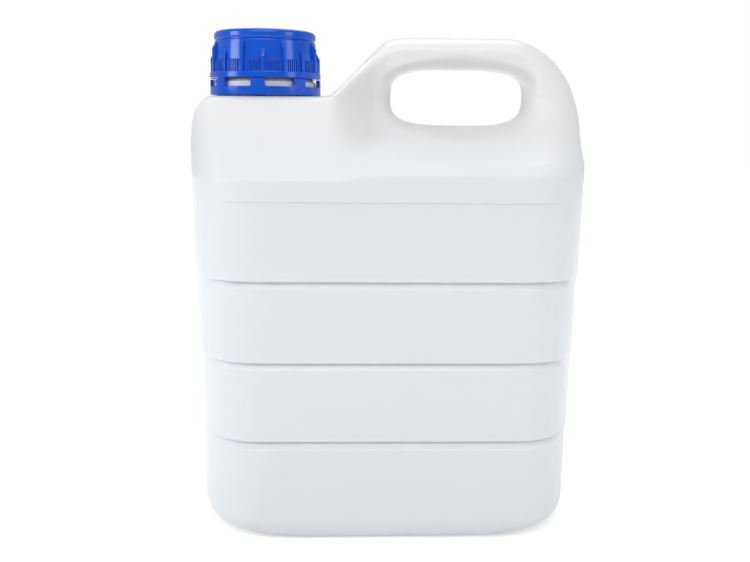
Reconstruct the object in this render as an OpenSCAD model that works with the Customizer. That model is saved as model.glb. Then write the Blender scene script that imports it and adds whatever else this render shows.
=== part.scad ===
// Blow-moulded bottle with a hollow carrying handle, a ribbed screw cap, the
// cap's sealing liner and the tamper band that stays on the neck.
// X runs along the width, Y through the depth, Z up from the base.

/* [Body] */
// Width across the two end walls at the shoulder
body_w = 167.8; // [156:0.2:176]
// Depth across the flat front and back faces
body_d = 104; // [94:1:120]
// Height of the moulding, up to the top of the grip
body_h = 208.4; // [202:0.2:216]
// Drop from the top of the grip to the platform that carries the neck
platform_drop = 25.5; // [24:0.1:27]
// Drop from the top of the grip to the shoulder break
break_drop = 57; // [54:0.2:60]
// Half depth of the platform
platform_half = 30; // [28:0.5:34]
// Wall of the moulding
wall = 1.3; // [1:0.1:1.8]
// Length of the rounded end of a level section
end_len = 32; // [28:1:40]
// Squareness of the rounded ends, where 2 is an ellipse
end_power = 2.4; // [2.1:0.1:3]
// Width lost on each side by the draft, from shoulder to foot
draft = 0.9; // [0.5:0.1:2]
// Height of the foot rounding
foot_h = 11; // [8:0.5:12]
// How far the foot rounding runs in under the body
foot_in = 8.5; // [5:0.5:10]
// Length of the rounded end of the foot's section
foot_len = 50; // [44:1:54]
// Rise of the pushed-up base
push_up = 2.5; // [1.5:0.5:4]
// Width of the outline's corner beside the platform
corner_w = 11; // [8:0.2:13]
// Height of the same corner
corner_h = 25; // [18:0.5:26]

/* [Panel and grooves] */
// Drop from the shoulder break to the top of the panel
panel_drop = 8.8; // [7:0.2:12]
// Depth of the panel below the face
panel_in = 0.7; // [0.4:0.1:1.2]
// Drop from the shoulder break to the top groove
groove_drop = 41.3; // [38:0.1:44]
// Distance from groove to groove
groove_pitch = 33.2; // [28:0.1:36]
// Number of grooves
groove_n = 3; // [1:1:3]
// Depth of a groove
groove_in = 1.3; // [0.6:0.1:2]
// Half height of a groove
groove_half = 2; // [1.5:0.1:3]
// Step in of each side wall below a groove
groove_step = 0.6; // [0.2:0.1:1]

/* [Handle] */
// Thickness of the grip, from its top to its underside
grip_t = 13.4; // [12:0.1:16]
// Depth of the grip and of its column, front to back
grip_d = 27; // [22:1:34]
// Width of the finger hole
hole_w = 58; // [50:0.5:62]
// Height of the finger hole
hole_h = 23.5; // [20:0.1:25]
// Place of the finger hole along the width
hole_x = 30.2; // [29:0.1:32]
// Squareness of the finger hole, where 2 is an ellipse
hole_power = 3.4; // [2.4:0.1:5]
// Length of the bend from the grip into the end wall
bend_w = 35; // [30:0.5:38]
// Height of the same bend
bend_h = 39; // [36:0.2:44]
// Slope of the ramp from the platform up to the grip
ramp_deg = 47.5; // [44:0.5:52]
// Left end of the flat top of the grip
ramp_top_x = -0.8; // [-3:0.1:2]

/* [Neck] */
// Distance of the neck's axis in from the left wall
neck_in = 31.1; // [30:0.1:32]
// Bore of the neck
neck_bore = 34.3; // [33:0.1:36]
// Wall of the neck between the threads
neck_wall = 1.9; // [1.5:0.1:2.4]
// Height of the thread above the neck's wall
thread_h = 1; // [0.8:0.1:1.2]
// How far the bead that holds the tamper band stands out from the neck
bead_out = 2.5; // [2.2:0.1:2.8]

/* [Cap] */
// Height of the cap above the slit
cap_h = 19.5; // [18:0.1:22]
// Wall of the cap under its top rim
cap_wall = 1.1; // [1:0.1:1.6]
// How far the cap's wall comes out on its way down to the collar
cap_flare = 1; // [0.6:0.1:1.4]
// How far the smooth collar at the foot of the cap stands out
collar_out = 1.2; // [0.8:0.1:1.6]
// Thickness of the cap's top
cap_roof = 1.7; // [1.2:0.1:2.4]
// Height of the collar
collar_h = 2.6; // [2:0.2:4]
// Height of the top rim
rim_h = 3.6; // [3:0.2:5]
// Number of tall ribs
rib_n = 16; // [8:2:20]
// Width of a tall rib
rib_w = 1.7; // [1:0.1:2.4]
// Fine ridges between two tall ribs
ridge_n = 6; // [3:1:7]
// Distance from ridge to ridge, in degrees
ridge_deg = 2.4; // [2:0.1:2.6]
// Height of the fine ridges
ridge_h = 4.8; // [3:0.2:7]

/* [Tamper band] */
// Height of the band with its tabs
band_h = 6.7; // [6.4:0.1:8]
// Height of the windows
window_h = 3.2; // [2.4:0.2:3.6]
// Number of windows
window_n = 8; // [4:1:10]
// Width of a tab between two windows, in degrees
tab_deg = 14; // [8:1:18]
// Gap between the bead and the band's bore
band_play = 0.6; // [0.4:0.1:0.8]

/* [Fits] */
// Gap between pieces that stay clear of each other
clear = 0.3; // [0.2:0.05:0.4]
// Gap under the tamper band
band_gap = 0.3; // [0.2:0.1:0.8]
// Thickness of the liner
liner_t = 1.2; // [0.8:0.1:2]

/* [Hidden] */
$fn = 72;

// Heights down from the top of the grip
platform_z = body_h - platform_drop;
break_z = body_h - break_drop;
groove_z = break_z - groove_drop;

// Diameters on the neck, worked out from its bore
neck_od = neck_bore + 2 * neck_wall;
thread_od = neck_od + 2 * thread_h;
bead_od = neck_od + 2 * bead_out;
snap_bore = bead_od - 1.4;
band_bore = bead_od + 2 * band_play;
cap_bore = thread_od + 2 * clear;
cap_top_od = cap_bore + 2 * cap_wall;
cap_foot_od = cap_top_od + 2 * cap_flare;
cap_od = cap_foot_od + 2 * collar_out;

// Heights on the neck, worked up from the platform
band_z = platform_z + band_gap;
cap_z = band_z + band_h + clear;
cap_top_z = cap_z + cap_h;
liner_z = cap_top_z - cap_roof - liner_t;
mouth_z = liner_z - clear;
window_z = band_z + band_h - window_h;
bead_z = window_z - 0.6;
bead_top_z = cap_z - clear;
bead_slope = 1.2;
snap_h = 1.4;
neck_root = 4;
seam_deg = 11;
lip_r = 0.8;

// Turn of the ribs and of the windows, as a share of their pitch, and the ridges' height
rib_at = 0.12;
window_at = 0.44;
ridge_out = 0.6;

// Form of the moulding
half_w = body_w / 2;
half_d = body_d / 2;
neck_x = neck_in - half_w;
join_z = break_z + 5.5;
join_in = 4;
grip_half = grip_d / 2;
hole_z = body_h - grip_t - hole_h / 2;
bend_x = half_w - bend_w;
bend_z = body_h - bend_h;
ramp_foot_x = ramp_top_x - (body_h - platform_z) / tan(ramp_deg);
ramp_soft = 2;
grip_soft = 3.4;

// Cells of the mesh: along a rounded end, along a flat face, up the patch
// beside the handle, and from the outline in to the finger hole
end_n = 6;
flat_x = [for (x = [-14, -4.5, -1, 2.5, 9, 19]) ramp_foot_x + x];
flat_at = [for (x = concat(flat_x, [hole_x - 21, hole_x + 2])) x / (half_w - end_len + 2)];
mid_n = len(flat_at) + 1;
patch_n = 9;
hole_n = 6;
span_n = 2 * end_n + mid_n;
ring_n = 2 * span_n;
patch_k = end_n + len(flat_x);
wall_n = 2;
bend_n = 9;
grip_n = 8;

function mix(a, b, t) = a + (b - a) * t;
function clamp01(t) = max(0, min(1, t));
function smooth(t) = let (c = clamp01(t)) c * c * (3 - 2 * c);
// Rounding that leaves 0 squarely at t = 0 and reaches 1 at t = 1
function ease(t, p) = pow(1 - pow(1 - clamp01(t), p), 1 / p);
// The larger of two heights, with the corner between them softened
function soft_max(a, b, s) = (a + b + norm([a - b, s])) / 2;

// Top of the outline over x: platform, ramp, grip and the bend into the end wall
function ramp_line(x) = soft_max(platform_z, platform_z + (x - ramp_foot_x) * tan(ramp_deg), ramp_soft);
function left_drop(x, i) =
    let (u = clamp01((x + half_w - i) / (corner_w - i)))
    (corner_h - i) * (1 - sqrt(1 - (1 - u) * (1 - u)));
function top_z(x, i) = x > bend_x
    ? bend_z + (bend_h - i) * sqrt(max(0, 1 - pow((x - bend_x) / (bend_w - i), 2)))
    : -soft_max(-ramp_line(x), -body_h, grip_soft) - i - left_drop(x, i);

// Half depth over the shoulder and the handle, before their edges are rounded
function rise(z, top) = clamp01((z - join_z) / (top - join_z));
function neck_side(z) = mix(half_d - join_in, platform_half, rise(z, platform_z));
function grip_side(z) = mix(grip_half, half_d - join_in, pow(1 - rise(z, hole_z), 1.6));
function side(x, z) =
    mix(neck_side(z), grip_side(z), smooth((x - ramp_foot_x) / (ramp_top_x - ramp_foot_x)));

// Distance in from the bend, and out from the finger hole
function bend_gap(x, z, i) =
    let (d = [x - bend_x, max(0, z - bend_z)])
    let (q = norm([d.x / (bend_w - i), d.y / (bend_h - i)]))
    norm(d) * (1 / max(q, 0.01) - 1);
function hole_ratio(v, i) = pow(
    pow(abs(v.x) / (hole_w / 2 + i), hole_power) + pow(abs(v.y) / (hole_h / 2 + i), hole_power),
    1 / hole_power);
function hole_gap(v, i) = norm(v) * (1 - 1 / max(hole_ratio(v, i), 1));

// How far the roundings reach in from the left wall, the bend and the top
function left_len(z) = mix(end_len - 2, end_len * 0.65, rise(z, platform_z));
function bend_len(z) = z < hole_z
    ? mix(end_len - 2, grip_half, smooth(rise(z, hole_z)))
    : mix(grip_half, grip_t / 2, clamp01((z - hole_z) / (body_h - hole_z)));
function top_len(x) = mix(4, grip_t / 2, smooth((x - ramp_foot_x) / 20));
function top_power(x) = mix(5, 2.2, smooth((x - ramp_foot_x) / 20));
function outer_ease(x, z, i) = x > bend_x
    ? ease(bend_gap(x, z, i) / bend_len(z), mix(end_power, 2, rise(z, hole_z)))
    : ease((top_z(x, i) - z) / top_len(x), top_power(x)) * ease((x + half_w - i) / left_len(z), end_power);
function depth_at(x, z, i) = (side(x, z) - i) * outer_ease(x, z, i)
    * ease(hole_gap([x - hole_x, z - hole_z], i) / (grip_t / 2 - i / 2), 2);

// Level sections of the lower body, each row as
// [height, inset, cut into the faces, share of the foot's rounder section]
function grooves_above(z) =
    len([for (g = [0 : groove_n - 1]) if (groove_z - g * groove_pitch > z) g]);
function taper(z) = draft * clamp01((break_z - z) / break_z) + groove_step * grooves_above(z);
function groove_rows(z, i) = [for (r = [[-1, 0], [-0.3, 1], [0.3, 1], [1, 0]])
    [z + r[0] * groove_half, i, panel_in + r[1] * groove_in, 0]];
function foot_rows(i) = [for (k = [0 : 4])
    let (a = 22.5 * k)
    [mix(foot_h, i, cos(a)), i + foot_in * (1 - sin(a)), 0, 1 - sin(a)]];
function rows(i) = concat(
    [[push_up + i, foot_in + 10 + i, 0, 1], [i, foot_in + 5 + i, 0, 1]],
    foot_rows(i),
    [[mix(foot_h, groove_z - (groove_n - 1) * groove_pitch - groove_half, 0.5), i, 0, 0]],
    [for (g = [groove_n - 1 : -1 : 0]) each groove_rows(groove_z - g * groove_pitch, i)],
    [[break_z - panel_drop - 1, i, panel_in, 0], [break_z - panel_drop, i, 0, 0]],
    [[break_z - 2, i + 0.2, 0, 0], [break_z + 1, i + 1, 0, 0]]);
function span_x(w, a, p) = concat(
    [for (k = [0 : end_n]) -w + a * (1 - pow(cos(90 * k / end_n), 2 / p))],
    [for (f = flat_at) f * (w - a)],
    [for (k = [end_n : -1 : 0]) w - a * (1 - pow(cos(90 * k / end_n), 2 / p))]);
function face_fade(x, w) = smooth((w - abs(x) - 4) / 16);
function level(z, w, h, a, p, cut) =
    let (front = [for (x = span_x(w, a, p))
        [x, cut * face_fade(x, w) - h * ease((w - abs(x)) / a, p), z]])
    concat(front, [for (k = [span_n - 1 : -1 : 1]) [front[k].x, -front[k].y, z]]);
function row_level(r) = level(
    r[0], half_w - taper(r[0]) - r[1], half_d - 0.3 * taper(r[0]) - r[1],
    mix(end_len, foot_len, r[3]), mix(end_power, 2, r[3]), r[2]);
function join_level(i) = level(join_z, half_w - i, half_d - join_in - i, end_len - 2, end_power, 0);

// Outline of the upper moulding from the foot of the end wall round to the patch
function outline(i, x_end) = concat(
    [for (k = [1 : wall_n]) [half_w - i, mix(join_z, bend_z, k / (wall_n + 1))]],
    [for (k = [0 : bend_n - 1])
        let (a = 90 * k / bend_n)
        [bend_x + (bend_w - i) * cos(a), bend_z + (bend_h - i) * sin(a)]],
    [for (k = [0 : grip_n - 1])
        let (x = mix(bend_x, x_end, 1 - pow(1 - k / grip_n, 1.6)))
        [x, top_z(x, i)]]);
function on_hole(p, i) =
    let (v = p - [hole_x, hole_z])
    [hole_x, hole_z] + v / hole_ratio(v, i);
function at_depth(p, i, side) = [p.x, side * depth_at(p.x, p.y, i), p.y];

// Two triangles across a four-sided cell
function cell(a, b, c, d, back) = back ? [[a, d, b], [b, d, c]] : [[a, b, d], [b, c, d]];

// The whole form, with every wall moved in by i
module form(i) {
    levels = concat([for (r = rows(i)) row_level(r)], [join_level(i)]);
    level_n = len(levels);
    foot_x = [for (k = [0 : span_n]) levels[level_n - 1][k].x];
    x_end = foot_x[patch_k];

    patch = [for (k = [0 : patch_k]) for (j = [1 : patch_n])
        [foot_x[k], mix(join_z, top_z(foot_x[k], i), 1 - pow(1 - j / patch_n, 2))]];
    rim = outline(i, x_end);
    loop = concat(
        [for (k = [patch_k : span_n]) [foot_x[k], join_z]],
        rim,
        [for (j = [patch_n : -1 : 1]) patch[patch_k * patch_n + j - 1]]);
    loop_n = len(loop);
    web = [for (p = loop) for (s = [1 : hole_n - 1]) mix(p, on_hole(p, i), s / hole_n)];

    // First index of each block of points
    patch_0 = level_n * ring_n;
    patch_1 = patch_0 + len(patch);
    rim_0 = patch_1 + len(patch);
    web_0 = rim_0 + len(rim);
    web_1 = web_0 + len(web);
    hole_0 = web_1 + len(web);
    centre_0 = hole_0 + loop_n;
    points = concat(
        [for (l = levels) each l],
        [for (p = patch) at_depth(p, i, -1)],
        [for (p = patch) at_depth(p, i, 1)],
        [for (p = rim) [p.x, 0, p.y]],
        [for (p = web) at_depth(p, i, -1)],
        [for (p = web) at_depth(p, i, 1)],
        [for (p = loop) let (h = on_hole(p, i)) [h.x, 0, h.y]],
        [[0, 0, push_up + i]]);

    function foot_at(k, back) = (level_n - 1) * ring_n + (back ? (ring_n - k) % ring_n : k);
    function patch_at(k, j, back) = j == 0
        ? foot_at(k, back)
        : (back && k > 0 && j < patch_n ? patch_1 : patch_0) + k * patch_n + j - 1;
    function loop_at(k, back) =
        let (r = k - (span_n - patch_k) - 1)
        r < 0 ? foot_at(k + patch_k, back)
            : r < len(rim) ? rim_0 + r : patch_at(patch_k, patch_n - (r - len(rim)), back);
    function web_at(k, s, back) = s == 0 ? loop_at(k % loop_n, back)
        : s == hole_n ? hole_0 + k % loop_n
        : (back ? web_1 : web_0) + (k % loop_n) * (hole_n - 1) + s - 1;

    faces = concat(
        [for (r = [0 : ring_n - 1]) [centre_0, r, (r + 1) % ring_n]],
        [for (l = [0 : level_n - 2]) for (r = [0 : ring_n - 1])
            let (b = l * ring_n, n = (r + 1) % ring_n)
            each cell(b + r, b + ring_n + r, b + ring_n + n, b + n, false)],
        [for (back = [false, true]) for (k = [0 : patch_k - 1]) for (j = [0 : patch_n - 1])
            each cell(patch_at(k, j, back), patch_at(k, j + 1, back),
                patch_at(k + 1, j + 1, back), patch_at(k + 1, j, back), back)],
        [for (back = [false, true]) for (k = [0 : loop_n - 1]) for (s = [0 : hole_n - 1])
            each cell(web_at(k, s, back), web_at(k, s + 1, back),
                web_at(k + 1, s + 1, back), web_at(k + 1, s, back), back)]);
    polyhedron(points, faces, convexity = 8);
}

// Turned profile round the axis of the neck
module turned(profile) {
    translate([neck_x, 0, 0])
    rotate(seam_deg)
    rotate_extrude() polygon(profile);
}

module neck() {
    r = neck_od / 2;
    b = bead_od / 2;
    turned([
        [0, platform_z - neck_root],
        [r, platform_z - neck_root],
        [r, bead_z],
        [b, bead_z],
        [b, bead_top_z - bead_slope],
        [r + thread_h, bead_top_z],
        [r, bead_top_z],
        [r, mouth_z - lip_r],
        [r - lip_r, mouth_z],
        [0, mouth_z]]);
}

module bottle() {
    color("white")
    difference() {
        union() {
            difference() {
                form(0);
                form(wall);
            }
            neck();
        }
        translate([neck_x, 0, platform_z - 2 * neck_root])
        rotate(seam_deg)
        cylinder(h = mouth_z - platform_z + 3 * neck_root, d = neck_bore);
    }
}

// One tall rib, running up the cap's wall from the collar
module rib(angle, top) {
    out = cap_od / 2 - clear;
    translate([neck_x, 0, 0])
    rotate(angle)
    translate([0, -rib_w / 2, 0])
    rotate([90, 0, 180])
    mirror([1, 0, 0])
    linear_extrude(rib_w)
    polygon([
        [cap_foot_od / 2 - 0.8, cap_z + collar_h / 2],
        [out, cap_z + collar_h / 2],
        [out, top - 3],
        [cap_top_od / 2 + 0.3, top],
        [cap_top_od / 2 - 0.4, top]]);
}

// Fine ridges in a group between each two ribs
module ridges() {
    translate([neck_x, 0, cap_z + collar_h / 2])
    linear_extrude(collar_h / 2 + ridge_h)
    difference() {
        polygon([for (k = [0 : rib_n - 1]) for (j = [0 : ridge_n - 1]) each [
            for (s = [[-0.48, 0], [-0.2, 1], [0.2, 1], [0.48, 0]])
                let (r = cap_foot_od / 2 - 0.1 + ridge_out * s[1])
                let (a = 360 * (k + rib_at + 0.5) / rib_n + ridge_deg * (j - (ridge_n - 1) / 2 + s[0]))
                [r * cos(a), r * sin(a)]]]);
        circle(d = cap_foot_od - 1.2);
    }
}

module cap() {
    top = cap_top_od / 2;
    rim = top + 0.1;
    foot = cap_foot_od / 2;
    collar = cap_od / 2;
    bore = cap_bore / 2;
    rim_z = cap_top_z - rim_h;
    top_r = 1.6;
    color([0.06, 0.3, 0.8]) {
        difference() {
            union() {
                turned([
                    [0, cap_z],
                    [collar, cap_z],
                    [collar, cap_z + collar_h - 0.4],
                    [collar - 0.4, cap_z + collar_h],
                    [foot, cap_z + collar_h],
                    [top, rim_z - 0.6],
                    [top - 0.5, rim_z - 0.3],
                    [top - 0.5, rim_z],
                    [rim, rim_z + 0.4],
                    for (a = [0 : 22.5 : 90])
                        [rim - top_r * (1 - cos(a)), cap_top_z - top_r * (1 - sin(a))],
                    [0, cap_top_z]]);
                ridges();
                for (k = [0 : rib_n - 1])
                    rib(360 * (k + rib_at) / rib_n, rim_z - (k % 2 == 0 ? 4.4 : 0.9));
            }
            translate([neck_x, 0, cap_z - 1])
            cylinder(h = cap_top_z - cap_roof - cap_z + 1, r = bore);
        }
    }
}

module cap_liner() {
    color([0.85, 0.87, 0.9])
    translate([neck_x, 0, liner_z])
    cylinder(h = liner_t, r = cap_bore / 2 - clear);
}

module tamper_ring() {
    out = cap_od / 2;
    bore = band_bore / 2;
    snap = snap_bore / 2;
    color([0.06, 0.3, 0.8])
    difference() {
        turned([
            [snap, band_z],
            [out - 0.3, band_z],
            [out, band_z + 0.3],
            [out, band_z + band_h],
            [bore, band_z + band_h],
            [bore, band_z + snap_h + 0.6],
            [snap, band_z + snap_h]]);
        for (k = [0 : window_n - 1])
            window(360 * (k + window_at) / window_n);
    }
}

// Wedge that cuts one window, leaving half a tab on each side
module window(angle) {
    half = 180 / window_n - tab_deg / 2;
    reach = cap_od;
    translate([neck_x, 0, window_z])
    rotate(angle)
    linear_extrude(window_h + 1)
    polygon([
        [0, 0],
        [reach * cos(half), -reach * sin(half)],
        [reach, 0],
        [reach * cos(half), reach * sin(half)]]);
}

bottle();
cap();
cap_liner();
tamper_ring();
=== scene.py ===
import math

import bmesh
import bpy
import numpy as np
from mathutils import Matrix, Vector


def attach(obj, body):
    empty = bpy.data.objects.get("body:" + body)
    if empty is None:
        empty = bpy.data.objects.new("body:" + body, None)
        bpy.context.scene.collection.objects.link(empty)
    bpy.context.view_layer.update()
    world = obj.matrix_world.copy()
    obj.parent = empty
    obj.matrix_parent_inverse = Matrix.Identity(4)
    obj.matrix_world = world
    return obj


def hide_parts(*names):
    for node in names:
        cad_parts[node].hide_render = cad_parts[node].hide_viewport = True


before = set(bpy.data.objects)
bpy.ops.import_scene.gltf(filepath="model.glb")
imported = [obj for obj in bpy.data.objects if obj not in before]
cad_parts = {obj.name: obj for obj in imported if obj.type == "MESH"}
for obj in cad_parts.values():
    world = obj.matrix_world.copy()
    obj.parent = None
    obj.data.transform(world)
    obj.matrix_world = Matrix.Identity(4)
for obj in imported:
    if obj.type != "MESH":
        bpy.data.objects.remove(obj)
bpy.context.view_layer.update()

# A white blow-moulded bottle with a blue screw cap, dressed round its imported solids.
# Sizes are in millimetres, as in the solids' own source; each mesh is scaled to metres when made.
MM = 0.001

# Form of the moulding, with the names and values of the solids' source
BODY_W = 167.8
BODY_D = 104.0
BODY_H = 208.4
PLATFORM_DROP = 25.5
BREAK_DROP = 57.0
PLATFORM_HALF = 30.0
WALL = 1.3
END_LEN = 32.0
END_POWER = 2.4
DRAFT = 0.9
FOOT_H = 11.0
FOOT_IN = 8.5
FOOT_LEN = 50.0
PUSH_UP = 2.5
CORNER_W = 11.0
CORNER_H = 25.0
PANEL_DROP = 8.8
PANEL_IN = 0.7
GROOVE_DROP = 41.3
GROOVE_PITCH = 33.2
GROOVE_N = 3
GROOVE_IN = 1.3
GROOVE_HALF = 2.0
GROOVE_STEP = 0.6
GRIP_T = 13.4
GRIP_D = 27.0
HOLE_W = 58.0
HOLE_H = 23.5
HOLE_X = 30.2
HOLE_POWER = 3.4
BEND_W = 35.0
BEND_H = 39.0
RAMP_DEG = 47.5
RAMP_TOP_X = -0.8
NECK_IN = 31.1
NECK_BORE = 34.3
NECK_WALL = 1.9
THREAD_H = 1.0
BEAD_OUT = 2.5

# Closure
CAP_H = 19.5
CAP_WALL = 1.1
CAP_FLARE = 1.0
COLLAR_OUT = 1.2
CAP_ROOF = 1.7
COLLAR_H = 2.6
RIM_H = 3.6
RIM_R = 1.6
RIB_N = 16
RIB_W = 1.7
RIB_AT = 0.12
RIDGE_N = 6
RIDGE_DEG = 2.4
RIDGE_H = 4.8
RIDGE_OUT = 0.6
BAND_H = 6.7
BAND_GAP = 0.3
BAND_PLAY = 0.6
WINDOW_H = 3.2
WINDOW_N = 8
WINDOW_AT = 0.44
TAB_DEG = 14.0
CLEAR = 0.3
LINER_T = 1.2

# Places that follow from those sizes
HALF_W = BODY_W / 2
HALF_D = BODY_D / 2
NECK_X = NECK_IN - HALF_W
PLATFORM_Z = BODY_H - PLATFORM_DROP
BREAK_Z = BODY_H - BREAK_DROP
GROOVE_Z = BREAK_Z - GROOVE_DROP
GROOVES = [GROOVE_Z - g * GROOVE_PITCH for g in range(GROOVE_N)]
PANEL_TOP = BREAK_Z - PANEL_DROP
JOIN_Z = BREAK_Z + 5.5
JOIN_IN = 4.0
JOIN_END = END_LEN - 2.0
GRIP_HALF = GRIP_D / 2
HOLE_Z = BODY_H - GRIP_T - HOLE_H / 2
BEND_X = HALF_W - BEND_W
BEND_Z = BODY_H - BEND_H
RAMP_FOOT_X = RAMP_TOP_X - (BODY_H - PLATFORM_Z) / math.tan(math.radians(RAMP_DEG))
RAMP_SOFT = 2.0
GRIP_SOFT = 3.4

NECK_OD = NECK_BORE + 2 * NECK_WALL
THREAD_OD = NECK_OD + 2 * THREAD_H
BEAD_OD = NECK_OD + 2 * BEAD_OUT
SNAP_BORE = BEAD_OD - 1.4
BAND_BORE = BEAD_OD + 2 * BAND_PLAY
CAP_BORE = THREAD_OD + 2 * CLEAR
CAP_TOP_OD = CAP_BORE + 2 * CAP_WALL
CAP_FOOT_OD = CAP_TOP_OD + 2 * CAP_FLARE
CAP_OD = CAP_FOOT_OD + 2 * COLLAR_OUT
BAND_Z = PLATFORM_Z + BAND_GAP
CAP_Z = BAND_Z + BAND_H + CLEAR
CAP_TOP_Z = CAP_Z + CAP_H
CAP_RIM_Z = CAP_TOP_Z - RIM_H
LINER_TOP_Z = CAP_TOP_Z - CAP_ROOF
LINER_Z = LINER_TOP_Z - LINER_T
MOUTH_Z = LINER_Z - CLEAR
WINDOW_Z = BAND_Z + BAND_H - WINDOW_H
SNAP_H = 1.4
BEAD_Z = WINDOW_Z - 0.6
BEAD_TOP_Z = CAP_Z - CLEAR
BEAD_SLOPE = 1.2
NECK_ROOT = 4.0
LIP_R = 0.8

# How the faces round into each other and how high the ribs reach, as in the source's formulas
FACE_DRAFT = 0.3        # share of the ends' draft that the faces have
SWEEP_POWER = 1.6       # how soon the slope below the handle reaches the grip's thickness
PLATFORM_EDGE = 4.0     # rounding of the platform's edge
PLATFORM_POWER = 5.0
GRIP_POWER = 2.2
EDGE_BLEND = 20.0       # length over which the platform's edge becomes the grip's
CORNER_TIGHT = 0.65     # rounding of the left end at the platform, as a share of the body's
GROOVE_END, GROOVE_FADE = 4.0, 16.0
RIB_DROP_LOW = 4.4
RIB_DROP_HIGH = 0.9

# Detail that only the visible model has
BREAK_SOFT = 1.0        # how far below the shoulder break its slope starts
SHOULDER_POWER = 2.8    # how late the shoulder leans in below the handle
BEND_BLEND = 16.0       # length over which the grip's rounding becomes the bend's
GROOVE_DEEP = 1.5 * GROOVE_IN
PANEL_END, PANEL_FADE = 13.0, 11.0
THREAD_PITCH = 4.0
THREAD_W = 1.7
THREAD_START = 2.2
NECK_THREAD_END = 2.6
CAP_THREAD_END = 2.0
RIB_BEVEL = 0.28
RIDGE_W = 0.54
RIDGE_BEVEL = 0.12
WINDOW_R = 0.7

# Fineness: points along an end or a face of the moulding, and round the turned pieces
OUTSIDE_FINE = 26
CAVITY_FINE = 20
NECK_STEPS = 128
LINER_STEPS = 192
CLOSURE_STEPS = 256
THREAD_STEPS = 96
BOTTLE_SHARP_DEG = 35
CLOSURE_SHARP_DEG = 40

# Camera, from the photo: a bottle turned by yaw about its upright axis in front of a lens
# that looks down by pitch
CAM_DISTANCE = 377.0
CAM_HEIGHT = 173.65
CAM_PITCH = 10.8
CAM_YAW = 1.81
CAM_ROLL = 0.55
CAM_ROLL_Z = 100.0
CAM_SIDE = 4.65
CAM_FOCAL_PX = 845.0
IMAGE_W = 750.0
SENSOR_W = 36.0

# Light of the studio, as brightness where 1 is white; the floor's sizes are in metres
ROOM_LIGHT = 0.30
BACKDROP_LIGHT = 0.50
FLOOR_GLOW = 0.42
FLOOR_NEAR = 0.10
FLOOR_FAR = 0.20
FLOOR_HALF = 3.0
LAMP_AIM_Z = 0.13
COOL = (0.90, 0.96, 1.0)
PLAIN = (1.0, 1.0, 1.0)
WARM = (1.0, 0.985, 0.97)


def mix(a, b, t):
    return a + (b - a) * t


def clamp01(t):
    return np.clip(t, 0.0, 1.0)


def smooth(t):
    c = clamp01(t)
    return c * c * (3 - 2 * c)


def ease(t, power):
    """Rounding that leaves 0 squarely at t = 0 and reaches 1 at t = 1."""
    return np.power(np.maximum(0.0, 1 - np.power(1 - clamp01(t), power)), 1 / power)


def soft_max(a, b, softness):
    return (a + b + np.hypot(a - b, softness)) / 2


# Outline and half depth of the upper moulding

def ramp_line(x):
    """Height of the platform and of the ramp that rises from it, without an end."""
    climb = (x - RAMP_FOOT_X) * math.tan(math.radians(RAMP_DEG))
    return soft_max(PLATFORM_Z, PLATFORM_Z + climb, RAMP_SOFT)


def left_drop(x, inset):
    """How far the rounded left corner lies below the platform's line."""
    u = clamp01((x + HALF_W - inset) / (CORNER_W - inset))
    return (CORNER_H - inset) * (1 - np.sqrt(1 - (1 - u) ** 2))


def top_z(x, inset):
    """Height of the outline: platform, ramp, grip and the bend down to the right end."""
    u = (x - BEND_X) / (BEND_W - inset)
    bend = BEND_Z + (BEND_H - inset) * np.sqrt(np.maximum(0.0, 1 - u ** 2))
    rest = -soft_max(-ramp_line(x), -BODY_H, GRIP_SOFT) - inset - left_drop(x, inset)
    return np.where(x > BEND_X, bend, rest)


def rise(z, top):
    """0 at the join, 1 from the height top on."""
    return clamp01((z - JOIN_Z) / (top - JOIN_Z))


def toward_grip(x):
    """0 under the platform, 1 from the top of the ramp on."""
    return smooth((x - RAMP_FOOT_X) / (RAMP_TOP_X - RAMP_FOOT_X))


def side(x, z):
    """Half depth of the faces, before any edge is rounded."""
    neck_side = mix(HALF_D - JOIN_IN, PLATFORM_HALF, rise(z, PLATFORM_Z))
    sweep = np.power(1 - rise(z, HOLE_Z), SWEEP_POWER)
    grip_side = mix(GRIP_HALF, HALF_D - JOIN_IN, sweep)
    return mix(neck_side, grip_side, toward_grip(x))


def bend_gap(x, z, inset):
    """Distance in from the bend's ellipse, along a ray from its centre."""
    dx = x - BEND_X
    dz = np.maximum(0.0, z - BEND_Z)
    q = np.hypot(dx / (BEND_W - inset), dz / (BEND_H - inset))
    return np.hypot(dx, dz) * (1 / np.maximum(q, 0.01) - 1)


def hole_ratio(vx, vz, inset):
    """1 on the finger hole's outline, less inside it, more outside."""
    across = np.power(np.abs(vx) / (HOLE_W / 2 + inset), HOLE_POWER)
    along = np.power(np.abs(vz) / (HOLE_H / 2 + inset), HOLE_POWER)
    return np.power(across + along, 1 / HOLE_POWER)


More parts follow.
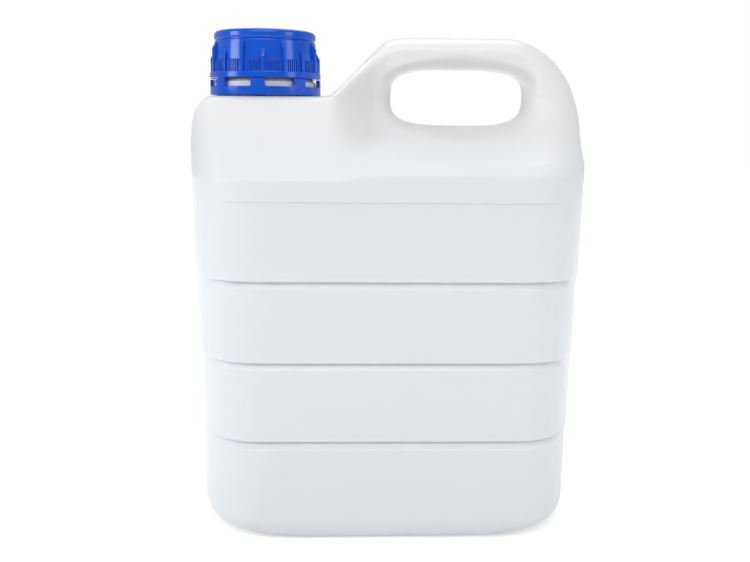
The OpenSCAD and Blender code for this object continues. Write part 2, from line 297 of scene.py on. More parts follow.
def outer_ease(x, z, inset):
    """Share of the half depth that the rounded outer edge leaves."""
    over_hole = clamp01((z - HOLE_Z) / (BODY_H - HOLE_Z))
    bend_len = np.where(
        z < HOLE_Z,
        mix(JOIN_END, GRIP_HALF, smooth(rise(z, HOLE_Z))),
        mix(GRIP_HALF, GRIP_T / 2, over_hole))
    into_grip = smooth((x - RAMP_FOOT_X) / EDGE_BLEND)
    top_len = mix(PLATFORM_EDGE, GRIP_T / 2, into_grip)
    top_power = mix(PLATFORM_POWER, GRIP_POWER, into_grip)
    left_len = mix(JOIN_END, END_LEN * CORNER_TIGHT, rise(z, PLATFORM_Z))
    into_bend = smooth((x - BEND_X) / BEND_BLEND)
    bend_len = mix(top_len, bend_len, into_bend)
    bend_power = mix(top_power, mix(END_POWER, 2, rise(z, HOLE_Z)), into_bend)
    right = ease(bend_gap(x, z, inset) / bend_len, bend_power)
    left = (ease((top_z(x, inset) - z) / top_len, top_power)
            * ease((x + HALF_W - inset) / left_len, END_POWER))
    return np.where(x > BEND_X, right, left)


def depth_at(x, z, inset):
    """Half depth of the upper moulding at a place of its front view."""
    vx, vz = x - HOLE_X, z - HOLE_Z
    gap = np.hypot(vx, vz) * (1 - 1 / np.maximum(hole_ratio(vx, vz, inset), 1.0))
    at_hole = ease(gap / (GRIP_T / 2 - inset / 2), 2)
    return (side(x, z) - inset) * outer_ease(x, z, inset) * at_hole


# Level sections of the lower body

def taper(z):
    """How far the ends have drawn in below the shoulder: the draft and a step at each groove."""
    lost = DRAFT * clamp01((BREAK_Z - z) / BREAK_Z)
    for groove in GROOVES:
        lost = lost + GROOVE_STEP * smooth((groove - z) / GROOVE_HALF / 2 + 0.5)
    return lost


def panel_cut(z):
    """How far the flat panel of the faces lies in."""
    lowest = GROOVES[-1] - GROOVE_HALF
    return PANEL_IN * smooth((PANEL_TOP - z) / 0.9 - 0.2) * smooth((z - lowest) / 1.5 + 0.5)


def groove_cut(z):
    """How far the grooves lie below the panel: a short ledge above and a longer slope below."""
    cut = 0.0
    for groove in GROOVES:
        t = (z - groove) / GROOVE_HALF
        cut = cut + smooth((0.5 - t) / 0.5) * clamp01((t + 1.15) / 1.25)
    return GROOVE_DEEP * cut


def end_fade(x, w, start, run):
    """0 at the narrow ends, 1 on the faces from start + run inside them."""
    return smooth((w - np.abs(x) - start) / run)


def span_x(w, a, power, fine):
    """Places across a section w half wide, closer together on its rounded ends of length a."""
    angle = np.linspace(0, math.pi / 2, fine + 1)
    end = a * (1 - np.power(np.maximum(0.0, np.cos(angle)), 2 / power))
    middle = np.linspace(-w + a, w - a, fine + 1)[1:-1]
    return np.concatenate([-w + end, middle, (w - end)[::-1]])


def section(x, y, z):
    """A closed section: the front from left to right, then the back from right to left."""
    front = np.stack([x, -y, np.full_like(x, z)], axis=1)
    back = np.stack([x, y, np.full_like(x, z)], axis=1)[1:-1][::-1]
    return np.concatenate([front, back])


def level(z, inset, foot, fine, up=0.0):
    """The body's section at a height.

    From 0 to 1, foot says how far it is down the foot's rounding, and up how far up the shoulder.
    """
    w = HALF_W - taper(z) - inset
    a = mix(END_LEN, FOOT_LEN, foot) - (END_LEN - JOIN_END) * up
    power = mix(END_POWER, 2.0, foot)
    x = span_x(w, a, power, fine)
    lean = JOIN_IN * np.power(up, mix(1.0, SHOULDER_POWER, toward_grip(x)))
    half = HALF_D - FACE_DRAFT * taper(z) - inset - lean
    panel = panel_cut(z) * end_fade(x, w, PANEL_END, PANEL_FADE)
    groove = groove_cut(z) * end_fade(x, w, GROOVE_END, GROOVE_FADE)
    y = half * ease((w - np.abs(x)) / a, power) - (panel + groove)
    y[[0, -1]] = 0.0
    return section(x, y, z)


def shoulder(z):
    """How far up the way from the shoulder break to the join a height lies, from 0 to 1."""
    start = BREAK_Z - BREAK_SOFT
    return clamp01((z - start) / (JOIN_Z - start))


def heights(fine):
    """Heights of the level sections, closer together where the form turns."""
    marks = [FOOT_H + 3.0]
    for groove in GROOVES:
        marks += list(groove + np.linspace(-1.6, 1.2, fine) * GROOVE_HALF)
    marks += list(PANEL_TOP + np.linspace(-0.8, 0.8, max(3, fine // 2)))
    marks += list(np.linspace(BREAK_Z - 4, JOIN_Z - 0.5, fine))
    marks = sorted(marks)
    out = []
    step = 40.0 / fine
    for low, high in zip(marks, marks[1:]):
        count = max(1, int(math.ceil((high - low) / step)))
        out += list(np.linspace(low, high, count + 1)[:-1])
    return [z for z in out + [marks[-1]] if z > FOOT_H + 0.5]


# Meshes

class Mesh:
    """Points and faces gathered block by block, then welded."""

    def __init__(self):
        self.points = []
        self.faces = []
        self.count = 0

    def grid(self, block, flip=False, closed=False):
        """A block of rows by columns of points, joined by four-sided faces."""
        rows, cols = block.shape[:2]
        start = self.count
        self.points.append(block.reshape(-1, 3))
        self.count += rows * cols
        for r in range(rows - 1):
            for c in range(cols if closed else cols - 1):
                n = (c + 1) % cols
                face = [start + r * cols + c, start + r * cols + n,
                        start + (r + 1) * cols + n, start + (r + 1) * cols + c]
                self.faces.append(face[::-1] if flip else face)

    def fan(self, ring):
        """A flat face over a ring of points."""
        start = self.count
        self.points.append(np.asarray(ring))
        self.count += len(ring)
        self.faces.append(list(range(start, start + len(ring))))

    def object(self, name, weld=2e-6):
        data = bpy.data.meshes.new(name)
        data.from_pydata((np.concatenate(self.points) * MM).tolist(), [], self.faces)
        work = bmesh.new()
        work.from_mesh(data)
        bmesh.ops.remove_doubles(work, verts=work.verts, dist=weld)
        bmesh.ops.dissolve_degenerate(work, edges=work.edges, dist=weld / 2)
        bmesh.ops.recalc_face_normals(work, faces=work.faces)
        work.to_mesh(data)
        work.free()
        return linked(name, data)


def linked(name, data):
    """A new object of some data, in the scene."""
    made = bpy.data.objects.new(name, data)
    bpy.context.collection.objects.link(made)
    return made


# The whole moulding, whose surface is made once for the outside and once for the cavity

def base_levels(inset, fine):
    """Sections of the underside, from its raised middle out to the top of the rounded foot."""
    levels = []
    for share in np.linspace(0.02, 1, 7):
        raised = level(PUSH_UP + inset, inset + FOOT_IN + 10, 1, fine)
        raised[:, :2] *= share
        levels.append(raised)
    for lift, run in ((0.2, 5.4), (0.0, 4.4), (0.0, 1.0)):
        levels.append(level(inset + lift, inset + FOOT_IN + run, 1, fine))
    for a in np.linspace(0, math.pi / 2, fine // 2):
        z = mix(FOOT_H, inset, math.cos(a))
        foot = 1 - math.sin(a)
        levels.append(level(z, inset + FOOT_IN * foot, foot, fine))
    return levels


def join_line(inset, fine):
    """Places and half depths along the join, where the upper moulding starts."""
    w = HALF_W - inset
    x = span_x(w, JOIN_END, END_POWER, fine)
    y = (HALF_D - JOIN_IN - inset) * ease((w - np.abs(x)) / JOIN_END, END_POWER)
    y[[0, -1]] = 0.0
    return x, y


def platform_block(x, y, inset, rows):
    """Half of the upper moulding under the platform: columns from the join up to the outline."""
    t = 1 - np.square(1 - np.linspace(0, 1, rows + 1))
    px = np.repeat(x[:, None], rows + 1, axis=1)
    pz = mix(JOIN_Z, top_z(px, inset), t[None, :])
    py = depth_at(px, pz, inset)
    py[0, :] = 0.0
    py[:, -1] = 0.0
    py[:, 0] = y
    return np.stack([px, py, pz], axis=2)


def handle_rim(inset, x_end, fine):
    """The handle's outline: up the right wall, round the bend and back along the grip to x_end."""
    wall = [(HALF_W - inset, z) for z in np.linspace(JOIN_Z, BEND_Z, fine // 2 + 1)[1:-1]]
    a = np.linspace(0, math.pi / 2, fine * 2 + 1)[:-1]
    bend = zip(BEND_X + (BEND_W - inset) * np.cos(a), BEND_Z + (BEND_H - inset) * np.sin(a))
    x = np.linspace(BEND_X, x_end, fine * 2 + 1)[:-1]
    return wall + list(bend) + list(zip(x, top_z(x, inset)))


def handle_block(x, y, edge, inset, fine):
    """Half of the upper moulding round the finger hole: rows from the outline in to the hole.

    It starts on the join at x and y, and ends on edge, the last column of the platform's block.
    """
    rim = handle_rim(inset, x[0], fine)
    loop = np.array([(place, JOIN_Z) for place in x] + rim + [(p[0], p[2]) for p in edge[::-1]])
    v = loop - [HOLE_X, HOLE_Z]
    hole = [HOLE_X, HOLE_Z] + v / hole_ratio(v[:, 0], v[:, 1], inset)[:, None]
    # rows crowd towards the finger hole and the outline, where the form turns
    crowded = (1 - np.cos(np.linspace(0, math.pi, fine + 1))) / 2
    s = mix(np.linspace(0, 1, fine + 1), crowded, 0.75)
    wx = mix(loop[None, :, 0], hole[None, :, 0], s[:, None])
    wz = mix(loop[None, :, 1], hole[None, :, 1], s[:, None])
    wy = depth_at(wx, wz, inset)
    foot_n, rim_n = len(x), len(rim)
    wy[-1, :] = 0.0
    wy[0, foot_n - 1:foot_n + rim_n] = 0.0
    wy[0, :foot_n] = y
    wy[0, foot_n + rim_n:] = edge[::-1, 1]
    return np.stack([wx, wy, wz], axis=2)


def form(name, inset, fine):
    """The whole moulding's surface, with every wall moved in by inset."""
    x, y = join_line(inset, fine)
    levels = base_levels(inset, fine)
    levels += [level(z, inset, 0, fine, shoulder(z)) for z in heights(fine)]
    levels.append(section(x, y, JOIN_Z))
    made = Mesh()
    made.grid(np.array(levels), closed=True)
    made.fan(levels[0])
    split = fine + round(fine * 3 / 7)
    left = platform_block(x[:split + 1], y[:split + 1], inset, int(fine * 1.4))
    right = handle_block(x[split:], y[split:], left[-1], inset, fine)
    for sign in (-1, 1):
        made.grid(left * [1, sign, 1], flip=sign > 0)
        made.grid(right * [1, sign, 1], flip=sign > 0)
    return made.object(name)


# Turned and threaded forms, booleans and shading

def turned(name, profile, steps):
    """An outline of (radius, height) points turned round the neck's axis.

    It runs from the axis back to the axis, or round a ring's section, which is closed here.
    """
    angle = np.linspace(0, 2 * math.pi, steps, endpoint=False)
    if profile[0][0] > 0:
        profile = profile + profile[:1]
    profile = np.array(profile, float)
    block = np.stack([
        NECK_X + profile[:, 0, None] * np.cos(angle)[None, :],
        profile[:, 0, None] * np.sin(angle)[None, :],
        np.repeat(profile[:, 1, None], steps, axis=1)], axis=2)
    made = Mesh()
    made.grid(block, closed=True)
    return made.object(name)


def boolean(target, tool, operation):
    """Applies a boolean of tool to target and deletes the tool."""
    step = target.modifiers.new(operation, "BOOLEAN")
    step.operation = operation
    step.solver = "MANIFOLD"
    step.object = tool
    apply_modifiers(target)
    bpy.data.objects.remove(tool)


def apply_modifiers(target):
    """Makes the object's mesh what its modifiers show."""
    graph = bpy.context.evaluated_depsgraph_get()
    result = bpy.data.meshes.new_from_object(target.evaluated_get(graph))
    target.modifiers.clear()
    target.data = result


def shade(made, degrees):
    """Smooth shading that keeps flat faces flat and edges sharper than the angle sharp."""
    for polygon in made.data.polygons:
        polygon.use_smooth = True
    made.data.set_sharp_from_angle(angle=math.radians(degrees))
    step = made.modifiers.new("normals", "WEIGHTED_NORMAL")
    step.keep_sharp = True
    apply_modifiers(made)


def helix(name, radius, height, z_low, z_high):
    """A thread of trapezoid section on the neck's axis; height is negative for an inside thread."""
    turns = (z_high - z_low) / THREAD_PITCH
    steps = int(turns * THREAD_STEPS)
    half = THREAD_W / 2
    flat = THREAD_W * 0.2
    rings = []
    for k in range(steps + 1):
        t = k / steps
        a = 2 * math.pi * turns * t
        z = mix(z_low, z_high, t)
        # the thread grows from nothing over a twelfth of a turn at each end
        run = smooth(min(t, 1 - t) * turns * 12) * 0.98 + 0.02
        root = radius - math.copysign(0.4, height)
        crest = radius + height * run
        outline = [(root, -half), (radius, -half), (crest, -flat),
                   (crest, flat), (radius, half), (root, half)]
        rings.append([(NECK_X + r * math.cos(a), r * math.sin(a), z + dz * run) for r, dz in outline])
    made = Mesh()
    block = np.array(rings)
    made.grid(block, closed=True)
    made.fan(block[0])
    made.fan(block[-1])
    return made.object(name)


# Bottle

def neck_profile():
    """Outside of the neck from its root: the bead that holds the tamper band, then up to the lip."""
    r, b = NECK_OD / 2, BEAD_OD / 2
    slope_z = BEAD_TOP_Z - BEAD_SLOPE
    return [
        (0, PLATFORM_Z - NECK_ROOT), (r, PLATFORM_Z - NECK_ROOT),
        (r, BEAD_Z - 0.2), (r + 0.2, BEAD_Z), (b - 0.3, BEAD_Z), (b, BEAD_Z + 0.3),
        (b, slope_z), (b - 0.3, slope_z + 0.3), (r + THREAD_H, BEAD_TOP_Z), (r + 0.2, BEAD_TOP_Z),
        (r, BEAD_TOP_Z + 0.2), (r, MOUTH_Z - LIP_R), (r - 0.25, MOUTH_Z - 0.25), (r - LIP_R, MOUTH_Z),
        (0, MOUTH_Z)]


def bore_profile():
    """The neck's bore, from inside the cavity up through the mouth, with a small bevel there."""
    r = NECK_BORE / 2
    return [
        (0, PLATFORM_Z - 2 * NECK_ROOT), (r, PLATFORM_Z - 2 * NECK_ROOT), (r, MOUTH_Z - 0.5),
        (r + 0.5, MOUTH_Z), (r + 0.5, MOUTH_Z + 1), (0, MOUTH_Z + 1)]


def make_bottle():
    outer = form("bottle_moulding", 0.0, OUTSIDE_FINE)
    neck = turned("neck", neck_profile(), NECK_STEPS)
    thread = helix("neck_thread", NECK_OD / 2, THREAD_H,
                   BEAD_TOP_Z + THREAD_START, MOUTH_Z - NECK_THREAD_END)
    boolean(neck, thread, "UNION")
    boolean(outer, neck, "UNION")
    inner = form("cavity", WALL, CAVITY_FINE)
    boolean(inner, turned("bore", bore_profile(), NECK_STEPS), "UNION")
    boolean(outer, inner, "DIFFERENCE")
    shade(outer, BOTTLE_SHARP_DEG)
    return outer


# Cap, tamper band and liner

def arc(centre, radius, start, end, steps):
    """Points of an arc in a profile, from one angle in degrees to another."""
    angles = np.radians(np.linspace(start, end, steps + 1))
    return [(centre[0] + radius * math.cos(a), centre[1] + radius * math.sin(a)) for a in angles]


def cap_profile():
    """Section of the shell: down inside from the axis under the roof, and up outside to the axis."""
    top, foot, collar, bore = CAP_TOP_OD / 2, CAP_FOOT_OD / 2, CAP_OD / 2, CAP_BORE / 2
    rim = top + 0.1
    collar_z = CAP_Z + COLLAR_H
    return (
        [(0, LINER_TOP_Z), (bore - 0.6, LINER_TOP_Z), (bore, LINER_TOP_Z - 0.6), (bore, CAP_Z + 0.3),
         (bore + 0.3, CAP_Z), (collar - 0.25, CAP_Z), (collar, CAP_Z + 0.25)]
        + arc((collar - 0.4, collar_z - 0.4), 0.4, 0, 80, 4)
        + [(foot + 0.25, collar_z + 0.02), (foot, collar_z + 0.25),
           (top, CAP_RIM_Z - 0.9), (top - 0.12, CAP_RIM_Z - 0.55), (top - 0.5, CAP_RIM_Z - 0.3),
           (top - 0.5, CAP_RIM_Z), (rim - 0.15, CAP_RIM_Z + 0.15), (rim, CAP_RIM_Z + 0.45)]
        + arc((rim - RIM_R, CAP_TOP_Z - RIM_R), RIM_R, 0, 90, 8)
        + [(0, CAP_TOP_Z)])


def rib_outline(rib_top):
    """Side view of a tall rib as (radius, height), from the collar up to its slanted top."""
    out = CAP_OD / 2 - CLEAR
    low = CAP_Z + COLLAR_H / 2
    return [(CAP_FOOT_OD / 2 - 0.8, low), (out, low), (out, rib_top - 3.0),
            (CAP_TOP_OD / 2 + 0.3, rib_top), (CAP_TOP_OD / 2 - 0.4, rib_top)]


def ridge_outline():
    """Side view of a fine ridge, which dies away upwards into the wall."""
    foot = CAP_FOOT_OD / 2
    low, high = CAP_Z + COLLAR_H / 2, CAP_Z + COLLAR_H + RIDGE_H
    return [(foot - 0.7, low), (foot + RIDGE_OUT - 0.1, low), (foot + RIDGE_OUT - 0.15, high - 0.5),
            (foot + 0.1, high), (foot - 0.9, high)]


def skin(work, near, far):
    """The faces of a closed piece between two matching outlines."""
    work.faces.new(near)
    work.faces.new(far[::-1])
    for k in range(len(near)):
        n = (k + 1) % len(near)
        work.faces.new([near[n], near[k], far[k], far[n]])
    bmesh.ops.recalc_face_normals(work, faces=work.faces)


def turn_to(work, angle):
    """Moves a part made on the x axis to its place round the neck."""
    turn = Matrix.Translation((NECK_X * MM, 0, 0)) @ Matrix.Rotation(angle, 4, "Z")
    bmesh.ops.transform(work, matrix=turn, verts=work.verts)


def prism(outline, width, angle, bevel):
    """A side outline made as wide as said across the radius at an angle, with its edges bevelled."""
    work = bmesh.new()
    near, far = [
        [work.verts.new((r * MM, s * width / 2 * MM, z * MM)) for r, z in outline] for s in (-1, 1)]
    skin(work, near, far)
    bmesh.ops.bevel(work, geom=work.edges[:], offset=bevel * MM, segments=2, profile=0.5,
                    affect="EDGES")
    turn_to(work, angle)
    return work


def gather(name, parts):
    """One object of many bmesh parts."""
    data = bpy.data.meshes.new(name)
    total = bmesh.new()
    for part in parts:
        piece = bpy.data.meshes.new("part")
        part.to_mesh(piece)
        part.free()
        total.from_mesh(piece)
        bpy.data.meshes.remove(piece)
    total.to_mesh(data)
    total.free()
    return linked(name, data)


def make_cap():
    shell = turned("cap_shell", cap_profile(), CLOSURE_STEPS)
    thread = helix("cap_thread", CAP_BORE / 2, -THREAD_H,
                   CAP_Z + THREAD_START + THREAD_PITCH / 2 - CLEAR, LINER_Z - CAP_THREAD_END)
    boolean(shell, thread, "UNION")
    body = bmesh.new()
    body.from_mesh(shell.data)
    bpy.data.objects.remove(shell)
    parts = [body]
    pitch = 2 * math.pi / RIB_N
    for k in range(RIB_N):
        drop = RIB_DROP_HIGH if k % 2 else RIB_DROP_LOW
        parts.append(prism(rib_outline(CAP_RIM_Z - drop), RIB_W, (k + RIB_AT) * pitch, RIB_BEVEL))
        middle = (k + RIB_AT + 0.5) * pitch
        for j in range(RIDGE_N):
            angle = middle + math.radians(RIDGE_DEG) * (j - (RIDGE_N - 1) / 2)
            parts.append(prism(ridge_outline(), RIDGE_W, angle, RIDGE_BEVEL))
    made = gather("screw_cap", parts)
    shade(made, CLOSURE_SHARP_DEG)
    return made


def band_profile():
    """Section of the tamper band: its snap lip under the bead, then up outside and down inside."""
    out, bore, snap = CAP_OD / 2, BAND_BORE / 2, SNAP_BORE / 2
    top = BAND_Z + BAND_H
    return [
        (snap, BAND_Z + 0.3), (snap + 0.3, BAND_Z), (out - 0.35, BAND_Z), (out - 0.1, BAND_Z + 0.1),
        (out, BAND_Z + 0.35), (out, top - 0.2), (out - 0.2, top), (bore + 0.15, top),
        (bore, top - 0.15), (bore, BAND_Z + SNAP_H + 0.6), (snap, BAND_Z + SNAP_H)]


def window_outline(half_w):
    """A window as (y, height over its sill), with rounded lower corners, up to past the band's top."""
    corner = [(WINDOW_R * (1 - math.cos(a)), WINDOW_R * (1 - math.sin(a)))
              for a in np.linspace(0, math.pi / 2, 5)]
    left = [(-half_w, WINDOW_H + 1)] + [(-half_w + y, z) for y, z in corner]
    return left + [(-y, z) for y, z in left[::-1]]


def window_cutter(half_angle, angle):
    """A wedge through the band at an angle, which widens outwards."""
    out = CAP_OD / 2
    reach = 1.2 * out
    outline = window_outline(out * math.sin(half_angle))
    spread = reach / out / math.cos(half_angle)
    work = bmesh.new()
    near, far = [
        [work.verts.new((x * MM, wide * y * MM, (WINDOW_Z + z) * MM)) for y, z in outline]
        for x, wide in ((0.25 * reach, 0.3), (reach, spread))]
    skin(work, near, far)
    turn_to(work, angle)
    return gather("window", [work])


def make_band():
    band = turned("tamper_band", band_profile(), CLOSURE_STEPS)
    half_angle = math.pi / WINDOW_N - math.radians(TAB_DEG) / 2
    for k in range(WINDOW_N):
        angle = 2 * math.pi * (k + WINDOW_AT) / WINDOW_N
        boolean(band, window_cutter(half_angle, angle), "DIFFERENCE")
    shade(band, CLOSURE_SHARP_DEG)
    return band


def make_liner():
    """The sealing disc, with the ring that the neck's lip has pressed into its foam."""
    r = CAP_BORE / 2 - CLEAR
    lip = NECK_BORE / 2 + NECK_WALL / 2
    pressed = [(lip + 1.1 * math.cos(a), LINER_Z + 0.18 * math.sin(a))
               for a in np.linspace(math.pi, 0, 9)]
    made = turned("sealing_disc", (
        [(0, LINER_Z)] + pressed
        + [(r - 0.2, LINER_Z), (r, LINER_Z + 0.2), (r, LINER_TOP_Z - 0.1), (r - 0.1, LINER_TOP_Z),
           (0, LINER_TOP_Z)]), LINER_STEPS)
    shade(made, CLOSURE_SHARP_DEG)
    return made


# Materials

def material(name):
    """A new material, with its nodes, links and shader, and the object's own coordinates."""
    made = bpy.data.materials.new(name)
    made.use_nodes = True
    nodes = made.node_tree.nodes
    place = nodes.new("ShaderNodeTexCoord").outputs["Object"]
    return made, nodes, made.node_tree.links, nodes["Principled BSDF"], place


def noise(nodes, links, scale, detail, place):
    made = nodes.new("ShaderNodeTexNoise")
    made.inputs["Scale"].default_value = scale
    made.inputs["Detail"].default_value = detail
    links.new(place, made.inputs["Vector"])
    return made.outputs["Fac"]


def ranged(nodes, links, source, low, high, out_low, out_high, kind="SMOOTHSTEP"):
    """Maps low..high to out_low..out_high."""
    made = nodes.new("ShaderNodeMapRange")
    made.interpolation_type = kind
    made.inputs["From Min"].default_value = low
    made.inputs["From Max"].default_value = high
    made.inputs["To Min"].default_value = out_low
    made.inputs["To Max"].default_value = out_high
    links.new(source, made.inputs["Value"])
    return made.outputs["Result"]


def spread_noise(nodes, links, source, low, high):
    """Maps the range that noise mostly keeps to, 0.3 to 0.7, to low..high."""
    return ranged(nodes, links, source, 0.3, 0.7, low, high, "LINEAR")


def tinted(nodes, links, factor, colour_a, colour_b):
    """A colour between two, by a factor; either may be a colour or another node's output."""
    made = nodes.new("ShaderNodeMix")
    made.data_type = "RGBA"
    links.new(factor, made.inputs["Factor"])
    for slot, colour in ((6, colour_a), (7, colour_b)):
        if isinstance(colour, tuple):
            made.inputs[slot].default_value = colour
        else:
            links.new(colour, made.inputs[slot])
    return made.outputs[2]


def bumped(nodes, links, height, strength, distance, under=None):
    """A normal with a bump of a height, over another bump where one is given."""
    made = nodes.new("ShaderNodeBump")
    made.inputs["Strength"].default_value = strength
    made.inputs["Distance"].default_value = distance
    links.new(height, made.inputs["Height"])
    if under:
        links.new(under, made.inputs["Normal"])
    return made.outputs["Normal"]


def white_plastic():
    """Satin polyethylene, cool in the body, with a faint parting line; the warmer white up at the
    handle is a painted warm reflection.
    """
    made, nodes, links, shader, place = material("bottle_white")
    parts = nodes.new("ShaderNodeSeparateXYZ")
    links.new(place, parts.inputs[0])
    broad = noise(nodes, links, 14, 2, place)
    fine = noise(nodes, links, 900, 3, place)
    body = tinted(nodes, links, broad, (0.775, 0.80, 0.83, 1), (0.795, 0.81, 0.83, 1))
    # painted warm reflection: the white turns warmer from the shoulder break up to the handle
    height = ranged(nodes, links, parts.outputs["Z"], BREAK_Z * MM, (HOLE_Z + 6) * MM, 0, 1)
    colour = tinted(nodes, links, height, body, (0.835, 0.815, 0.81, 1))
    links.new(colour, shader.inputs["Base Color"])
    links.new(spread_noise(nodes, links, broad, 0.32, 0.42), shader.inputs["Roughness"])
    shader.inputs["Subsurface Weight"].default_value = 0.35
    shader.inputs["Subsurface Radius"].default_value = (1.0, 0.95, 0.9)
    shader.inputs["Subsurface Scale"].default_value = 0.004
    shader.inputs["IOR"].default_value = 1.5
    across = nodes.new("ShaderNodeMath")
    across.operation = "ABSOLUTE"
    links.new(parts.outputs["Y"], across.inputs[0])
    line = ranged(nodes, links, across.outputs[0], 0.00012, 0.0004, 1, 0)
    parting = bumped(nodes, links, line, 0.35, 0.0002)
    links.new(bumped(nodes, links, fine, 0.10, 0.0002, parting), shader.inputs["Normal"])
    return made


def blue_plastic():
    """Glossy moulded polypropylene."""
    made, nodes, links, shader, place = material("cap_blue")
    broad = noise(nodes, links, 60, 3, place)
    fine = noise(nodes, links, 1800, 2, place)
    colour = tinted(nodes, links, broad, (0.001, 0.078, 0.56, 1), (0.002, 0.090, 0.61, 1))
    links.new(colour, shader.inputs["Base Color"])
    links.new(spread_noise(nodes, links, broad, 0.13, 0.19), shader.inputs["Roughness"])
    shader.inputs["IOR"].default_value = 1.49
    links.new(bumped(nodes, links, fine, 0.08, 0.0001), shader.inputs["Normal"])
    return made


def liner_foam():
    """Fine closed-cell foam."""
    made, nodes, links, shader, place = material("liner_foam")
    cells = noise(nodes, links, 1500, 4, place)
    shader.inputs["Base Color"].default_value = (0.74, 0.75, 0.76, 1)
    links.new(spread_noise(nodes, links, cells, 0.6, 0.8), shader.inputs["Roughness"])
    links.new(bumped(nodes, links, cells, 0.3, 0.0002), shader.inputs["Normal"])
    return made


# Stage, light and camera

def any_ray(nodes, links, kinds):
    """1 for the rays of some kinds, 0 for the others."""
    path = nodes.new("ShaderNodeLightPath")
    total = path.outputs[kinds[0]]
    for kind in kinds[1:]:
        join = nodes.new("ShaderNodeMath")
        join.operation = "MAXIMUM"
        links.new(total, join.inputs[0])
        links.new(path.outputs[kind], join.inputs[1])
        total = join.outputs[0]
    return total


def floor_material():
    """Pale floor that keeps the object's shadow and runs out to the white of the backdrop."""
    made, nodes, links, shader, place = material("floor_pale")
    shader.inputs["Base Color"].default_value = (0.86, 0.86, 0.86, 1)
    shader.inputs["Roughness"].default_value = 0.9
    span = nodes.new("ShaderNodeVectorMath")
    span.operation = "LENGTH"
    links.new(place, span.inputs[0])
    bright = ranged(nodes, links, span.outputs["Value"], FLOOR_NEAR, FLOOR_FAR, FLOOR_GLOW, 1.0)
    lift = nodes.new("ShaderNodeMath")
    lift.operation = "MULTIPLY"
    seen = any_ray(nodes, links, ("Is Camera Ray", "Is Glossy Ray", "Is Transmission Ray"))
    links.new(seen, lift.inputs[0])
    links.new(bright, lift.inputs[1])
    glow = nodes.new("ShaderNodeEmission")
    glow.inputs["Color"].default_value = (1, 1, 1, 1)
    links.new(lift.outputs[0], glow.inputs["Strength"])
    total = nodes.new("ShaderNodeAddShader")
    links.new(shader.outputs[0], total.inputs[0])
    links.new(glow.outputs[0], total.inputs[1])
    links.new(total.outputs[0], nodes["Material Output"].inputs["Surface"])
    return made


def make_floor():
    h = FLOOR_HALF
    data = bpy.data.meshes.new("floor")
    data.from_pydata([(-h, -h, 0), (h, -h, 0), (h, h, 0), (-h, h, 0)], [], [(0, 1, 2, 3)])
    data.materials.append(floor_material())
    linked("floor", data)


def make_world():
    """White to the eye all round; as light, a bright backdrop behind and a dimmer room in front."""
    world = bpy.data.worlds.new("studio")
    bpy.context.scene.world = world
    world.use_nodes = True
    nodes, links = world.node_tree.nodes, world.node_tree.links
    back = nodes["Background"]
    back.inputs["Color"].default_value = (1, 1, 1, 1)
    parts = nodes.new("ShaderNodeSeparateXYZ")
    links.new(nodes.new("ShaderNodeTexCoord").outputs["Generated"], parts.inputs[0])
    room = ranged(nodes, links, parts.outputs["Y"], -0.1, 0.5, ROOM_LIGHT, BACKDROP_LIGHT)
    pick = nodes.new("ShaderNodeMix")
    pick.inputs["B"].default_value = 1.0
    seen = any_ray(nodes, links, ("Is Camera Ray", "Is Transmission Ray"))
    links.new(seen, pick.inputs["Factor"])
    links.new(room, pick.inputs["A"])
    links.new(pick.outputs["Result"], back.inputs["Strength"])


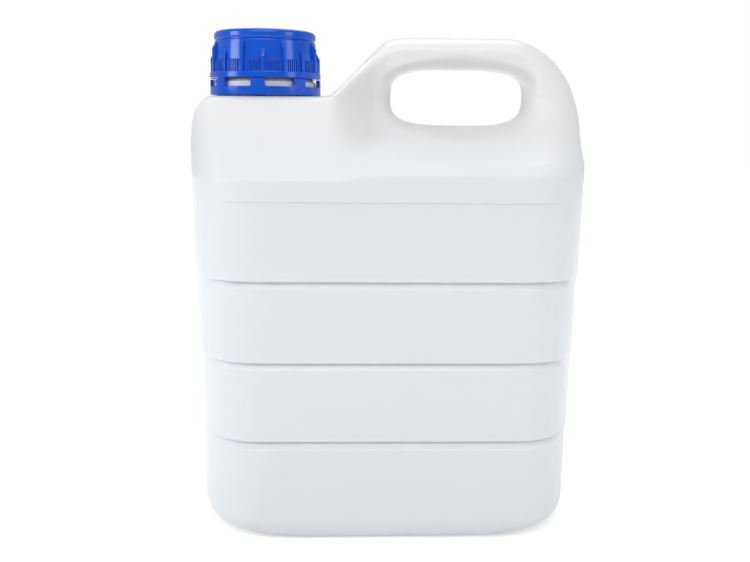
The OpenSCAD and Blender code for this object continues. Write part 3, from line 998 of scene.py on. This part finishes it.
def make_lamp(name, angle, lift, distance, width, height, glow, colour):
    """A soft box aimed at the bottle.

    The angle is in degrees round from the camera's side, and the lift, the distance and the sizes
    are in metres. The glow is the brightness of its face, where 1 is white.
    """
    data = bpy.data.lights.new(name, "AREA")
    data.shape = "RECTANGLE"
    data.size = width
    data.size_y = height
    data.energy = glow * math.pi * width * height
    data.color = colour
    made = linked(name, data)
    a = math.radians(angle)
    place = Vector((math.sin(a) * distance, -math.cos(a) * distance, lift))
    made.location = place
    made.rotation_mode = "QUATERNION"
    made.rotation_quaternion = (Vector((0, 0, LAMP_AIM_Z)) - place).to_track_quat("-Z", "Y")


def make_lights():
    make_lamp("soft_box_left", -67, 0.42, 1.0, 0.36, 0.42, 6.2, COOL)
    make_lamp("soft_box_right", 58, 0.42, 1.0, 0.32, 0.42, 3.2, COOL)
    make_lamp("front_fill", -3, 1.15, 1.1, 1.3, 0.9, 2.5, PLAIN)
    make_lamp("overhead", 40, 1.5, 0.25, 1.0, 1.0, 1.2, WARM)
    make_lamp("back_fill", 178, 1.50, 0.9, 1.3, 0.7, 2.6, PLAIN)


def make_camera():
    """The photo's camera: the bottle's own turn and roll are taken up by the camera instead."""
    data = bpy.data.cameras.new("camera")
    data.sensor_width = SENSOR_W
    data.lens = CAM_FOCAL_PX / IMAGE_W * SENSOR_W
    made = linked("camera", data)
    roll_centre = Matrix.Translation((0, 0, CAM_ROLL_Z * MM))
    roll = roll_centre @ Matrix.Rotation(math.radians(CAM_ROLL), 4, "Y") @ roll_centre.inverted()
    yaw = Matrix.Rotation(math.radians(CAM_YAW), 4, "Z")
    turn = Matrix.Translation((CAM_SIDE * MM, 0, 0)) @ roll @ yaw
    stand = (Matrix.Translation((0, -CAM_DISTANCE * MM, CAM_HEIGHT * MM))
             @ Matrix.Rotation(math.radians(90 - CAM_PITCH), 4, "X"))
    made.matrix_world = turn.inverted() @ stand
    bpy.context.scene.camera = made


def dress():
    """Makes each visible piece, hangs it on the body it rides on and hides the solid that it stands
    for.
    """
    white, blue, foam = white_plastic(), blue_plastic(), liner_foam()
    for make, look, node, body, slot in (
            (make_bottle, white, "bottle", "bottle", "bottle_white"),
            (make_cap, blue, "cap", "cap", "cap_blue"),
            (make_band, blue, "tamper_ring", "bottle", "cap_blue"),
            (make_liner, foam, "cap_liner", "liner", "liner_foam")):
        piece = make()
        piece.data.materials.clear()
        piece.data.materials.append(look)
        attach(piece, body)
        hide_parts(node)


make_camera()
make_world()
make_lights()
make_floor()
dress()
bpy.context.scene.view_settings.view_transform = "Standard"
